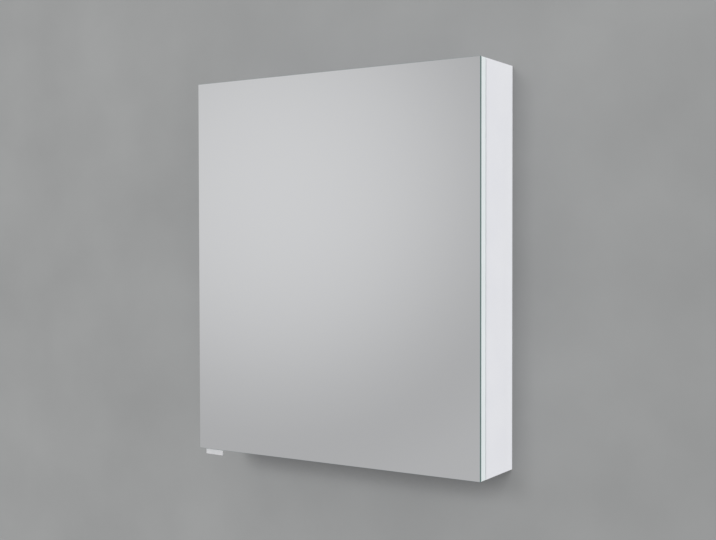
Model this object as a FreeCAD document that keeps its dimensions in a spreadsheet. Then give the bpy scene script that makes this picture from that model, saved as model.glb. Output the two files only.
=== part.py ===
import FreeCAD, Part
import os
import re
import Sketcher

# A wall-hung cabinet whose front is one mirror door on two concealed cup hinges.
# X runs to the right, Y towards the wall and Z up. The wall is the plane y = 0, and the origin
# is midway between the two screw holes of the wall rail.

# Sizes in millimetres, kept in the sheet
SIZES = {
    # carcass
    "cabinet_width": 600,
    "cabinet_height": 700,
    "carcass_depth": 103,
    "panel_thickness": 16,
    "back_thickness": 4,
    "back_setback": 20,
    "groove_depth": 6,
    "groove_clearance": 0.2,
    "dowel_radius": 4,
    "dowel_clearance": 0.05,
    "dowel_in_side": 11,
    "dowel_in_panel": 19,
    "dowel_front_setback": 24,
    "dowel_rear_setback": 44,
    "hole_end_clearance": 0.5,
    "overrun": 1,
    # wall rail
    "rail_sheet": 2,
    "rail_leg_down": 16,
    "rail_leg_up": 8,
    "rail_lip_height": 12,
    "rail_standoff": 12,
    "rail_end_clearance": 6,
    "wall_screw_spacing": 400,
    "wall_screw_hole_radius": 3.5,
    # hangers in the upper rear corners
    "housing_width": 18,
    "housing_depth": 30,
    "housing_height": 57,
    "housing_top_gap": 2,
    "hook_thickness": 3,
    "hook_inside": 24,
    "hook_bar": 4.5,
    "hook_headroom": 2.5,
    "hook_finger": 10,
    "hook_wall_clearance": 4,
    "hook_clearance": 0.2,
    "hook_lip_clearance": 0.5,
    "hook_slot_clearance": 1,
    # door
    "door_gap": 2,
    "door_board_thickness": 16,
    "edge_band_thickness": 1,
    "front_mirror_thickness": 5,
    "rear_mirror_thickness": 3,
    "rear_mirror_margin": 20,
    "rear_mirror_hinge_margin": 62,
    "mirror_arris": 0.4,
    "bumper_radius": 4,
    "bumper_inset": 30,
    "bumper_clearance": 0.1,
    # finger grip under the door's free lower corner
    "grip_width": 40,
    "grip_depth": 17,
    "grip_sheet": 2,
    "grip_drop": 10,
    "grip_edge_distance": 15,
    "grip_front_setback": 1,
    "grip_round": 0.8,
    "grip_screw_spacing": 24,
    # shelves
    "shelf_thickness": 5,
    "shelf_front_setback": 10,
    "shelf_side_clearance": 2,
    "shelf_back_clearance": 2,
    "shelf_round": 1,
    "pin_hole_pitch": 32,
    "pin_hole_radius": 2.5,
    "pin_hole_depth": 10,
    "pin_row_front": 30,
    "pin_row_rear": 18,
    "shelf_pin_clearance": 0.05,
    "shelf_pin_plug": 9,
    "shelf_pin_flange_radius": 4,
    "shelf_pin_flange": 1.2,
    "shelf_pin_radius": 3,
    "shelf_pin_reach": 9,
    "shelf_pin_flat": 0.5,
    # hinges: pins are placed from the side panel's inner face and front, and from the door's edge and back
    "hinge_inset": 100,
    "hinge_pin_radius": 1.25,
    "hinge_pin_clearance": 0.05,
    "outer_arm_pin_inset": 25,
    "outer_arm_pin_setback": 10.25,
    "inner_arm_pin_inset": 29,
    "inner_arm_pin_setback": 3.8,
    "outer_cup_pin_edge": 12.2,
    "outer_cup_pin_depth": 2.3,
    "cup_pin_edge_step": 0.8,
    "cup_pin_gap": 0.35,
    "link_eye_radius": 2.3,
    "link_half_width": 1,
    "fork_inner_half": 4,
    "fork_thickness": 2,
    "fork_play": 0.4,
    "inner_link_free_play": 1.6,
    "inner_link_free_eye_wall": 1.2,
    # hinge arm and its plate
    "arm_sheet": 1.2,
    "arm_height": 17,
    "arm_cheek_depth": 10,
    "arm_nose_radius": 4.2,
    "arm_back_start": 24,
    "arm_back_length": 26,
    "arm_neck_overlap": 5,
    "plate_thickness": 2,
    "plate_setback": 37,
    "plate_half_width": 8,
    "plate_half_height": 23,
    "plate_screw_spacing": 32,
    "spine_clearance": 0.1,
    "arm_screw_spacing": 14,
    # hinge cup in the door
    "cup_radius": 17.5,
    "cup_edge_distance": 5,
    "cup_depth": 12.5,
    "cup_wall": 0.9,
    "cup_bore_clearance": 0.1,
    "cup_flange_width": 2,
    "cup_flange": 1.2,
    "cup_wing_half_width": 8,
    "cup_wing_end": 5,
    "cup_screw_spacing": 48,
    "cup_notch_play": 0.6,
    "cup_notch_drop": 4,
    "cup_notch_depth": 4,
    # screws
    "screw_clearance": 0.05,
    "screw_recess_width": 0.9,
    "screw_recess_depth": 0.9,
    "adjuster_radius": 2.5,
    "adjuster_length": 16,
    "adjuster_head_radius": 4,
    "adjuster_head_height": 2,
    "fixing_radius": 2,
    "fixing_length": 28,
    "fixing_head_radius": 3.6,
    "fixing_head_height": 1.8,
    "plate_screw_radius": 2.2,
    "plate_screw_length": 14,
    "plate_screw_head_radius": 3.8,
    "plate_screw_head_height": 1.8,
    "arm_screw_radius": 2.4,
    "arm_screw_length": 9,
    "arm_screw_head_radius": 3.4,
    "arm_screw_head_height": 1.5,
    "cup_screw_radius": 1.8,
    "cup_screw_length": 12,
    "cup_screw_head_radius": 3.2,
    "cup_screw_head_height": 1.4,
    "grip_screw_radius": 1.5,
    "grip_screw_length": 14,
    "grip_screw_head_radius": 2.8,
    "grip_screw_head_height": 1.4,
    # shares
    "adjuster_upper_share": 0.42,
    "adjuster_lower_share": 0.63,
    "fixing_upper_share": 0.755,
    "fixing_lower_share": 0.91,
    "screw_recess_share": 0.62,
    "fork_web_start_share": 0.12,
    "fork_web_end_share": 0.4,
}

# Counts in the row of shelf pin holes, from the middle hole: all holes each way, and those to a shelf
PIN_HOLE_COUNT = 6
SHELF_HOLE_COUNT = 4
SIDES = {"left": -1, "right": 1}

# Places worked out from the sizes
INNER = "(cabinet_width / 2 - panel_thickness)"
OUTER = "(cabinet_width / 2)"
ABOVE_SCREWS = (
    "rail_leg_up", "rail_lip_height", "hook_bar", "hook_headroom", "housing_top_gap", "panel_thickness",
)
TOP = f"({' + '.join(ABOVE_SCREWS)})"
BOTTOM = f"({TOP} - cabinet_height)"
MIDDLE = f"({TOP} - cabinet_height / 2)"
FRONT = "(-carcass_depth)"
BACK_FRONT = "(-back_setback - back_thickness)"
DOOR_BACK = "(-carcass_depth - door_gap)"
BOARD_FRONT = "(-carcass_depth - door_gap - door_board_thickness)"
LIP_TOP = "(rail_leg_up + rail_lip_height)"
HOUSING_TOP = f"({TOP} - panel_thickness - housing_top_gap)"
HINGES = {
    "upper": f"({TOP} - hinge_inset)",
    "lower": f"({TOP} - cabinet_height + hinge_inset)",
}
CUP_X = "(cabinet_width / 2 - cup_edge_distance - cup_radius)"
PIN_ROWS = {"front": f"({FRONT} + pin_row_front)", "rear": f"({BACK_FRONT} - pin_row_rear)"}

doc = FreeCAD.newDocument("mirror_cabinet")
sheet = doc.addObject("Spreadsheet::Sheet", "Sizes")
for row, (alias, number) in enumerate(SIZES.items(), start=1):
    sheet.set(f"A{row}", alias)
    sheet.set(f"B{row}", str(number))
    sheet.setAlias(f"B{row}", alias)
doc.recompute()

nodes = []


def expr(text):
    """Point each size that an expression names at its cell in the sheet."""
    return re.sub(r"[a-z_]+", lambda word: f"Sizes.{word[0]}" if word[0] in SIZES else word[0], text)


def size(alias):
    """The value of one size, read from the sheet."""
    return float(sheet.get(alias))


def node(item, label):
    """Name a finished sub-part and keep it for the export."""
    item.Label = label
    nodes.append(item)
    return item


def place(item, x, y, z):
    """Bind the place of an object to three expressions."""
    for axis, text in zip("xyz", (x, y, z)):
        item.setExpression(f"Placement.Base.{axis}", expr(text))


def across(side, low, high):
    """A stretch measured outwards from the middle plane, on the left or the right side."""
    return (low, high) if side == "right" else (f"-({high})", f"-({low})")


def about(centre, half):
    """A stretch of a half length to each side of a centre."""
    return f"{centre} - ({half})", f"{centre} + ({half})"


def box(name, x, y, z):
    """A block between a low and a high place along each axis."""
    item = doc.addObject("Part::Box", name)
    for edge, (low, high) in zip(("Length", "Width", "Height"), (x, y, z)):
        item.setExpression(edge, expr(f"({high}) - ({low})"))
    place(item, x[0], y[0], z[0])
    return item


TURNS = {
    "X": FreeCAD.Rotation(FreeCAD.Vector(0, 1, 0), 90),
    "Y": FreeCAD.Rotation(FreeCAD.Vector(1, 0, 0), -90),
    "Z": FreeCAD.Rotation(),
}


def rod(name, axis, start, length, radius):
    """A round bar that runs from its start along +X, +Y or +Z."""
    item = doc.addObject("Part::Cylinder", name)
    item.Placement = FreeCAD.Placement(FreeCAD.Vector(), TURNS[axis])
    item.setExpression("Radius", expr(radius))
    item.setExpression("Height", expr(length))
    place(item, *start)
    return item


def joined(name, items):
    """One solid from several that touch or overlap."""
    item = doc.addObject("Part::MultiFuse", name)
    item.Shapes = items
    return item


def cut(name, base, tools):
    """A base with every tool taken out of it."""
    item = doc.addObject("Part::Cut", name)
    item.Base = base
    item.Tool = tools[0] if len(tools) == 1 else joined(name + "_tools", tools)
    return item


def group(label, items):
    """Separate solids kept together in one node."""
    item = doc.addObject("Part::Compound", label)
    item.Links = items
    return node(item, label)


def along(axis, way, at, length):
    """The start of a bar of some length that leaves a point along an axis, either way."""
    start = list(at)
    if way < 0:
        place_of = "XYZ".index(axis)
        start[place_of] = f"{start[place_of]} - {length}"
    return start


def screw(name, kind, axis, way, at):
    """A screw whose head bears at a point and whose shank runs along an axis, with a cross recess."""
    shank_at = along(axis, way, at, f"{kind}_length")
    shank = rod(name + "_shank", axis, shank_at, f"{kind}_length", f"{kind}_radius")
    head_at = along(axis, -way, at, f"{kind}_head_height")
    head = rod(name + "_head", axis, head_at, f"{kind}_head_height", f"{kind}_head_radius")
    sign = "-" if way > 0 else "+"
    slots = []
    for long_axis in "XYZ".replace(axis, ""):
        spans = [about(centre, "screw_recess_width / 2") for centre in at]
        spans["XYZ".index(long_axis)] = about(
            at["XYZ".index(long_axis)], f"{kind}_head_radius * screw_recess_share"
        )
        outer = f"{at['XYZ'.index(axis)]} {sign} ({kind}_head_height + overrun)"
        inner = f"{at['XYZ'.index(axis)]} {sign} ({kind}_head_height - screw_recess_depth)"
        spans["XYZ".index(axis)] = (outer, inner) if way > 0 else (inner, outer)
        slots.append(box(f"{name}_recess_{long_axis}", *spans))
    return cut(name, joined(name + "_solid", [shank, head]), slots)


def screw_hole(name, kind, axis, way, at):
    """The hole that a screw's shank needs from just above its bearing point to just past its tip."""
    length = f"({kind}_length + overrun + hole_end_clearance)"
    above = list(at)
    place_of = "XYZ".index(axis)
    above[place_of] = f"{at[place_of]} {'-' if way > 0 else '+'} overrun"
    return rod(name, axis, along(axis, way, above, length), length, f"{kind}_radius + screw_clearance")


# Places of the fasteners

def dowel_places():
    """Name, side, depth and height of each corner dowel."""
    rows = {"front": "(dowel_front_setback - carcass_depth)", "rear": "(-dowel_rear_setback)"}
    levels = {"top": f"({TOP} - panel_thickness / 2)", "bottom": f"({BOTTOM} + panel_thickness / 2)"}
    for side in SIDES:
        for row, y in rows.items():
            for level, z in levels.items():
                yield f"{side}_{level}_{row}", side, level, y, z


def dowel(name, side, y, z, clearance, end):
    """A corner dowel, or its hole when clearances are given."""
    x = across(side, f"{INNER} - dowel_in_panel - {end}", f"{INNER} + dowel_in_side + {end}")
    length = f"dowel_in_panel + dowel_in_side + 2 * {end}"
    return rod(name, "X", (x[0], y, z), length, f"dowel_radius + {clearance}")


def dowel_holes(owner, wanted):
    """The dowel holes that touch one panel."""
    return [
        dowel(f"{owner}_dowel_hole_{name}", side, y, z, "dowel_clearance", "hole_end_clearance")
        for name, side, level, y, z in dowel_places()
        if wanted in (side, level)
    ]


def hanger_fixings(side):
    """Bearing points of the two screws that hold a hanger to its side panel."""
    x = across(side, f"{INNER} - housing_width", INNER)[0 if side == "right" else 1]
    y = f"({BACK_FRONT} - housing_depth / 2)"
    for level in ("upper", "lower"):
        yield f"{side}_{level}", (x, y, f"({HOUSING_TOP} - housing_height * fixing_{level}_share)")


def hanger_adjusters(side):
    """Bearing points of the two adjusting screws on the front of a hanger."""
    x = f"{SIDES[side]} * ({INNER} - housing_width / 2)"
    y = f"({BACK_FRONT} - housing_depth)"
    for level in ("upper", "lower"):
        yield f"{side}_{level}", (x, y, f"({HOUSING_TOP} - housing_height * adjuster_{level}_share)")


def plate_fixings(level):
    """Bearing points of the two screws that hold a hinge plate to the side panel."""
    for end, sign in (("high", "+"), ("low", "-")):
        z = f"({HINGES[level]} {sign} plate_screw_spacing / 2)"
        yield f"{level}_{end}", (f"({INNER} - plate_thickness)", f"({FRONT} + plate_setback)", z)


def arm_fixings(level):
    """Bearing points of the two screws that hold a hinge arm to its plate."""
    middle = f"{FRONT} + arm_back_start + arm_back_length / 2"
    for end, sign in (("front", "-"), ("rear", "+")):
        y = f"({middle} {sign} arm_screw_spacing / 2)"
        yield f"{level}_{end}", (f"({INNER} - arm_height)", y, HINGES[level])


def cup_fixings(level):
    """Bearing points of the two screws that hold a hinge cup to the door."""
    for end, sign in (("high", "+"), ("low", "-")):
        z = f"({HINGES[level]} {sign} cup_screw_spacing / 2)"
        yield f"{level}_{end}", (CUP_X, f"({DOOR_BACK} + cup_flange)", z)


def grip_fixings():
    """Bearing points of the two screws that hold the grip under the door."""
    middle = "-cabinet_width / 2 + grip_edge_distance + grip_width / 2"
    y = f"({BOARD_FRONT} + door_board_thickness / 2)"
    for end, sign in (("left", "-"), ("right", "+")):
        yield end, (f"({middle} {sign} grip_screw_spacing / 2)", y, f"({BOTTOM} - grip_sheet)")


# Carcass

def side_panel(side):
    """A side panel with its groove, its rows of shelf pin holes and its dowel and screw holes."""
    label = f"{side}_side_panel"
    blank = box(label + "_blank", across(side, INNER, OUTER), (FRONT, "0"), (BOTTOM, TOP))
    tools = [
        box(
            label + "_groove",
            across(side, f"{INNER} - overrun", f"{INNER} + groove_depth"),
            (f"{BACK_FRONT} - groove_clearance", "groove_clearance - back_setback"),
            (f"{BOTTOM} + panel_thickness - groove_depth", f"{TOP} - panel_thickness + groove_depth"),
        )
    ]
    x = across(side, f"{INNER} - overrun", f"{INNER} + pin_hole_depth")[0]
    for row in PIN_ROWS:
        for step in range(-PIN_HOLE_COUNT, PIN_HOLE_COUNT + 1):
            start = (x, PIN_ROWS[row], f"{MIDDLE} + {step} * pin_hole_pitch")
            name = f"{label}_pin_hole_{row}_{step + PIN_HOLE_COUNT}"
            tools.append(rod(name, "X", start, "pin_hole_depth + overrun", "pin_hole_radius"))
    tools += dowel_holes(label, side)
    for name, at in hanger_fixings(side):
        tools.append(screw_hole(f"{label}_fixing_hole_{name}", "fixing", "X", SIDES[side], at))
    if side == "right":
        for level in HINGES:
            for name, at in plate_fixings(level):
                tools.append(screw_hole(f"{label}_plate_hole_{name}", "plate_screw", "X", 1, at))
    node(cut(label, blank, tools), label)


def level_panel(level):
    """The top or the bottom panel between the sides, with its groove and dowel holes."""
    label = f"{level}_panel"
    if level == "top":
        z = (f"{TOP} - panel_thickness", TOP)
        groove = (f"{TOP} - panel_thickness - overrun", f"{TOP} - panel_thickness + groove_depth")
    else:
        z = (BOTTOM, f"{BOTTOM} + panel_thickness")
        groove = (f"{BOTTOM} + panel_thickness - groove_depth", f"{BOTTOM} + panel_thickness + overrun")
    blank = box(label + "_blank", about("0", INNER), (FRONT, "0"), z)
    depth = (f"{BACK_FRONT} - groove_clearance", "groove_clearance - back_setback")
    tools = [box(label + "_groove", about("0", f"{INNER} + overrun"), depth, groove)]
    node(cut(label, blank, tools + dowel_holes(label, level)), label)


def hook_span(clearance):
    """The heights between which a hanger hook runs, with some room about it."""
    return f"{LIP_TOP} - hook_finger - {clearance}", f"{LIP_TOP} + hook_bar + {clearance}"


def hook_across(side, clearance):
    """The width that a hanger hook takes on its side, with some room about it."""
    centre = f"{INNER} - housing_width / 2"
    half = f"(hook_thickness / 2 + {clearance})"
    return across(side, f"{centre} - {half}", f"{centre} + {half}")


def back_panel():
    """The thin back panel in its grooves, with a slot for each hanger hook."""
    reach = "panel_thickness - groove_depth + groove_clearance"
    blank = box(
        "back_panel_blank",
        about("0", f"(cabinet_width / 2 - ({reach}))"),
        (BACK_FRONT, "-back_setback"),
        (f"{BOTTOM} + {reach}", f"{TOP} - ({reach})"),
    )
    slots = [
        box(
            f"back_panel_slot_{side}",
            hook_across(side, "hook_slot_clearance"),
            (f"{BACK_FRONT} - overrun", "overrun - back_setback"),
            hook_span("hook_slot_clearance"),
        )
        for side in SIDES
    ]
    node(cut("back_panel", blank, slots), "back_panel")


def carcass_dowels():
    """The wood dowels in the four corners."""
    rods = [dowel(f"dowel_{name}", side, y, z, "0", "0") for name, side, level, y, z in dowel_places()]
    group("carcass_dowels", rods)


# Wall rail and hangers

def wall_rail():
    """A folded steel rail on the wall, whose lip stands off the wall and carries the hooks."""
    x = about("0", f"({INNER} - rail_end_clearance)")
    web_low = "rail_leg_up - rail_sheet"
    leg = box("wall_rail_leg", x, ("-rail_sheet", "0"), ("-rail_leg_down", "rail_leg_up"))
    web = box("wall_rail_web", x, ("-rail_standoff", "0"), (web_low, "rail_leg_up"))
    lip = box("wall_rail_lip", x, ("-rail_standoff", "rail_sheet - rail_standoff"), (web_low, LIP_TOP))
    holes = [
        rod(
            f"wall_rail_hole_{side}",
            "Y",
            (f"{sign} * wall_screw_spacing / 2", "-rail_sheet - overrun", "0"),
            "rail_sheet + 2 * overrun",
            "wall_screw_hole_radius",
        )
        for side, sign in SIDES.items()
    ]
    node(cut("wall_rail", joined("wall_rail_profile", [leg, web, lip]), holes), "wall_rail")


def hanger(side):
    """A hanger housing in an upper rear corner, and the hook that leaves it through the back panel."""
    label = f"hanger_housing_{side}"
    blank = box(
        label + "_blank",
        across(side, f"{INNER} - housing_width", INNER),
        (f"{BACK_FRONT} - housing_depth", BACK_FRONT),
        (f"{HOUSING_TOP} - housing_height", HOUSING_TOP),
    )
    tools = [
        box(
            label + "_slot",
            hook_across(side, "hook_clearance"),
            (f"{BACK_FRONT} - hook_inside - hook_clearance", f"{BACK_FRONT} + overrun"),
            hook_span("hook_clearance"),
        )
    ]
    for name, at in hanger_fixings(side):
        tools.append(screw_hole(f"{label}_fixing_hole_{name}", "fixing", "X", SIDES[side], at))
    for name, at in hanger_adjusters(side):
        tools.append(screw_hole(f"{label}_adjuster_hole_{name}", "adjuster", "Y", 1, at))
    node(cut(label, blank, tools), label)

    label = f"hanger_hook_{side}"
    blank = box(
        label + "_blank",
        hook_across(side, "0"),
        (f"{BACK_FRONT} - hook_inside", "-hook_wall_clearance"),
        hook_span("0"),
    )
    notch = box(
        label + "_notch",
        hook_across(side, "overrun"),
        ("-rail_standoff - hook_lip_clearance", "rail_sheet + hook_lip_clearance - rail_standoff"),
        (f"{LIP_TOP} - hook_finger - overrun", LIP_TOP),
    )
    node(cut(label, blank, [notch]), label)


def hanger_screws():
    """The screws that fix the hangers, and those that adjust them."""
    fixings = []
    adjusters = []
    for side, sign in SIDES.items():
        for name, at in hanger_fixings(side):
            fixings.append(screw(f"fixing_{name}", "fixing", "X", sign, at))
        for name, at in hanger_adjusters(side):
            adjusters.append(screw(f"adjuster_{name}", "adjuster", "Y", 1, at))
    group("hanger_fixing_screws", fixings)
    group("hanger_adjusting_screws", adjusters)


# Flat glass and the grip, drawn as outlines and padded

def outline(body, name, points):
    """A closed sketch on a body's ground plane through points given as pairs of expressions."""
    sketch = body.newObject("Sketcher::SketchObject", name)
    ground = next(plane for plane in body.Origin.OriginFeatures if plane.Role == "XY_Plane")
    sketch.AttachmentSupport = [(ground, "")]
    sketch.MapMode = "FlatFace"
    count = len(points)
    start = [FreeCAD.Vector(x, y, 0) for x, y in points_on_ring(count)]
    for index in range(count):
        sketch.addGeometry(Part.LineSegment(start[index], start[(index + 1) % count]), False)
    for index in range(count):
        sketch.addConstraint(Sketcher.Constraint("Coincident", index, 2, (index + 1) % count, 1))
    for index, point in enumerate(points):
        for kind, axis_line, text in zip(("DistanceX", "DistanceY"), (-2, -1), point):
            if text == "0":
                sketch.addConstraint(Sketcher.Constraint("PointOnObject", index, 1, axis_line))
            else:
                place_of = sketch.addConstraint(Sketcher.Constraint(kind, -1, 1, index, 1, 1.0))
                sketch.setExpression(f"Constraints[{place_of}]", expr(text))
    return sketch


def points_on_ring(count):
    """Rough first corners for a sketch, which its constraints then move."""
    turn = FreeCAD.Rotation(FreeCAD.Vector(0, 0, 1), 360 / count)
    arm = FreeCAD.Vector(-1, -1, 0)
    for _ in range(count):
        yield arm.x, arm.y
        arm = turn.multVec(arm)


def padded(label, points, length):
    """A body whose outline is padded to a length, and its pad."""
    body = doc.addObject("PartDesign::Body", label)
    sketch = outline(body, label + "_outline", points)
    pad = body.newObject("PartDesign::Pad", label + "_pad")
    pad.Profile = sketch
    pad.setExpression("Length", expr(length))
    doc.recompute()
    return body, pad


UPRIGHT = FreeCAD.Rotation(FreeCAD.Vector(1, 0, 0), 90)
SIDEWAYS = FreeCAD.Rotation(FreeCAD.Vector(1, 1, 1), 120)


def sheet_glass(label, turn, start, width, height, thickness, dress, dress_size):
    """A flat pane with dressed edges, turned and placed by its first corner."""
    corners = [("0", "0"), (width, "0"), (width, height), ("0", height)]
    body, pad = padded(label, corners, thickness)
    edges = body.newObject(f"PartDesign::{dress}", label + "_edges")
    edges.Base = (pad, [f"Edge{index + 1}" for index in range(len(pad.Shape.Edges))])
    edges.setExpression("Size" if dress == "Chamfer" else "Radius", expr(dress_size))
    body.Placement = FreeCAD.Placement(FreeCAD.Vector(), turn)
    place(body, *start)
    node(body, label)


def door_mirrors():
    """The front mirror over the whole door, and the smaller mirror on the door's back."""
    sheet_glass(
        "front_mirror", UPRIGHT, (f"-{OUTER}", BOARD_FRONT, BOTTOM),
        "cabinet_width", "cabinet_height", "front_mirror_thickness", "Chamfer", "mirror_arris",
    )
    margin = "(panel_thickness + rear_mirror_margin)"
    sheet_glass(
        "rear_mirror", UPRIGHT,
        (f"{margin} - {OUTER}", f"{DOOR_BACK} + rear_mirror_thickness", f"{BOTTOM} + {margin}"),
        f"cabinet_width - {margin} - rear_mirror_hinge_margin", f"cabinet_height - 2 * {margin}",
        "rear_mirror_thickness", "Chamfer", "mirror_arris",
    )


def shelf_pin_height(level):
    """The height of the holes that carry a shelf."""
    sign = "+" if level == "upper" else "-"
    return f"({MIDDLE} {sign} {SHELF_HOLE_COUNT} * pin_hole_pitch)"


def shelf_under(level):
    """The height of a shelf's underside, on the flats of its pins."""
    return f"({shelf_pin_height(level)} + shelf_pin_radius - shelf_pin_flat)"


def glass_shelf(level):
    """A glass shelf on its four pins."""
    front = f"({FRONT} + shelf_front_setback)"
    corner = (f"shelf_side_clearance - {INNER}", front, shelf_under(level))
    sheet_glass(
        f"{level}_glass_shelf", FreeCAD.Rotation(), corner,
        f"2 * ({INNER} - shelf_side_clearance)", f"{BACK_FRONT} - shelf_back_clearance - {front}",
        "shelf_thickness", "Fillet", "shelf_round",
    )


def shelf_pins(level):
    """Four shelf pins: a plug in the side panel, a flange, and a peg with a flat for the glass."""
    pins = []
    height = shelf_pin_height(level)
    for side in SIDES:
        for row in PIN_ROWS:
            name = f"{level}_shelf_pin_{side}_{row}"
            y = PIN_ROWS[row]
            plug_x = across(side, INNER, f"{INNER} + shelf_pin_plug")
            flange_x = across(side, f"{INNER} - shelf_pin_flange", INNER)
            peg_x = across(side, f"{INNER} - shelf_pin_reach", INNER)
            plug = rod(name + "_plug", "X", (plug_x[0], y, height), "shelf_pin_plug",
                       "pin_hole_radius - shelf_pin_clearance")
            flange = rod(name + "_flange", "X", (flange_x[0], y, height), "shelf_pin_flange",
                         "shelf_pin_flange_radius")
            peg = rod(name + "_peg", "X", (peg_x[0], y, height), "shelf_pin_reach", "shelf_pin_radius")
            flat = box(
                name + "_flat",
                across(side, f"{INNER} - shelf_pin_reach - overrun", f"{INNER} - shelf_pin_flange"),
                about(y, "shelf_pin_radius + overrun"),
                (shelf_under(level), f"{shelf_under(level)} + shelf_pin_radius"),
            )
            pins.append(cut(name, joined(name + "_solid", [plug, flange, peg]), [flat]))
    group(f"{level}_shelf_pins", pins)


# Door

def door_board():
    """The board that carries both mirrors, bored for the hinge cups."""
    blank = box(
        "door_board_blank",
        about("0", f"({OUTER} - edge_band_thickness)"),
        (BOARD_FRONT, DOOR_BACK),
        (f"{BOTTOM} + edge_band_thickness", f"{TOP} - edge_band_thickness"),
    )
    tools = []
    for level, z in HINGES.items():
        bore = "(cup_depth + cup_bore_clearance)"
        start = (CUP_X, f"{DOOR_BACK} - {bore}", z)
        tools.append(rod(f"door_board_bore_{level}", "Y", start, f"{bore} + overrun", "cup_radius"))
        for name, at in cup_fixings(level):
            tools.append(screw_hole(f"door_board_cup_hole_{name}", "cup_screw", "Y", -1, at))
    for name, at in grip_fixings():
        tools.append(screw_hole(f"door_board_grip_hole_{name}", "grip_screw", "Z", 1, at))
    node(cut("door_board", blank, tools), "door_board")


def edge_bands():
    """The bands on the four edges of the door board."""
    depth = (BOARD_FRONT, DOOR_BACK)
    for side in SIDES:
        x = across(side, f"{OUTER} - edge_band_thickness", OUTER)
        node(box(f"door_edge_band_{side}", x, depth, (BOTTOM, TOP)), f"door_edge_band_{side}")
    between = about("0", f"({OUTER} - edge_band_thickness)")
    top = box("door_edge_band_top", between, depth, (f"{TOP} - edge_band_thickness", TOP))
    node(top, "door_edge_band_top")
    blank = box("door_edge_band_bottom_blank", between, depth, (BOTTOM, f"{BOTTOM} + edge_band_thickness"))
    holes = [
        screw_hole(f"door_edge_band_hole_{name}", "grip_screw", "Z", 1, at) for name, at in grip_fixings()
    ]
    node(cut("door_edge_band_bottom", blank, holes), "door_edge_band_bottom")


def finger_grip():
    """An angle strip under the door's free lower corner: a leg on the edge and a lip that hangs down."""
    corners = [
        ("0", "0"),
        ("grip_sheet", "0"),
        ("grip_sheet", "grip_drop - grip_sheet"),
        ("grip_depth", "grip_drop - grip_sheet"),
        ("grip_depth", "grip_drop"),
        ("0", "grip_drop"),
    ]
    body, pad = padded("finger_grip_angle", corners, "grip_width")
    low = [
        f"Edge{index + 1}"
        for index, edge in enumerate(pad.Shape.Edges)
        if edge.BoundBox.YMax < size("grip_sheet") / 2 and edge.BoundBox.XLength < size("grip_sheet") / 2
    ]
    rounded = body.newObject("PartDesign::Fillet", "finger_grip_round")
    rounded.Base = (pad, low)
    rounded.setExpression("Radius", expr("grip_round"))
    body.Placement = FreeCAD.Placement(FreeCAD.Vector(), SIDEWAYS)
    place(
        body, "-cabinet_width / 2 + grip_edge_distance",
        f"{BOARD_FRONT} - front_mirror_thickness + grip_front_setback", f"{BOTTOM} - grip_drop",
    )
    tools = [screw_hole(f"finger_grip_hole_{name}", "grip_screw", "Z", 1, at) for name, at in grip_fixings()]
    node(cut("finger_grip", body, tools), "finger_grip")


def door_screws():
    """The screws of the hinge cups and of the grip."""
    cups = []
    for level in HINGES:
        for name, at in cup_fixings(level):
            cups.append(screw(f"cup_screw_{name}", "cup_screw", "Y", -1, at))
    group("hinge_cup_screws", cups)
    grips = [screw(f"grip_screw_{name}", "grip_screw", "Z", 1, at) for name, at in grip_fixings()]
    group("grip_screws", grips)


def door_bumpers():
    """Soft discs on the free side's front edge, which the closed door rests against."""
    x = f"(panel_thickness / 2 - {OUTER})"
    length = "(door_gap - bumper_clearance)"
    heights = {"upper": f"{TOP} - bumper_inset", "lower": f"{BOTTOM} + bumper_inset"}
    discs = [
        rod(f"door_bumper_{level}", "Y", (x, f"{FRONT} - {length}", z), length, "bumper_radius")
        for level, z in heights.items()
    ]
    group("door_bumpers", discs)


# Hinges

ARM_PINS = {
    "outer": (f"({INNER} - outer_arm_pin_inset)", f"({FRONT} + outer_arm_pin_setback)"),
    "inner": (f"({INNER} - inner_arm_pin_inset)", f"({FRONT} + inner_arm_pin_setback)"),
}
CUP_PIN_EDGES = {"outer": "outer_cup_pin_edge", "inner": "(outer_cup_pin_edge + cup_pin_edge_step)"}
CUP_PIN_DEPTHS = {
    "outer": "outer_cup_pin_depth",
    "inner": "(outer_cup_pin_depth + link_eye_radius + hinge_pin_radius + cup_pin_gap)",
}
CUP_PINS = {
    pin: (f"({OUTER} - {CUP_PIN_EDGES[pin]})", f"({DOOR_BACK} - {CUP_PIN_DEPTHS[pin]})")
    for pin in CUP_PIN_EDGES
}
ARM_HALF = "(fork_inner_half + fork_thickness + fork_play + arm_sheet)"


def cup_pin_reach(pin):
    """Half the length of a pin that ends inside the cup's wall."""
    offset = f"(cup_edge_distance + cup_radius - {CUP_PIN_EDGES[pin]} + hinge_pin_radius)"
    return f"sqrt((cup_radius - cup_wall / 2)^2 - {offset}^2)"


def hinge_plate(level):
    """A mounting plate on the side panel, with a spine that the arm sits on."""
    label = f"hinge_plate_{level}"
    z = HINGES[level]
    base = box(
        label + "_base",
        (f"{INNER} - plate_thickness", INNER),
        about(f"({FRONT} + plate_setback)", "plate_half_width"),
        about(z, "plate_half_height"),
    )
    spine = box(
        label + "_spine",
        (f"{INNER} - arm_height + arm_sheet", f"{INNER} - plate_thickness"),
        (f"{FRONT} + arm_back_start", f"{FRONT} + arm_back_start + arm_back_length"),
        about(z, f"({ARM_HALF} - arm_sheet - spine_clearance)"),
    )
    tools = []
    for name, at in plate_fixings(level):
        tools.append(screw_hole(f"{label}_plate_hole_{name}", "plate_screw", "X", 1, at))
    for name, at in arm_fixings(level):
        tools.append(screw_hole(f"{label}_arm_hole_{name}", "arm_screw", "X", 1, at))
    node(cut(label, joined(label + "_solid", [base, spine]), tools), label)


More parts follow.
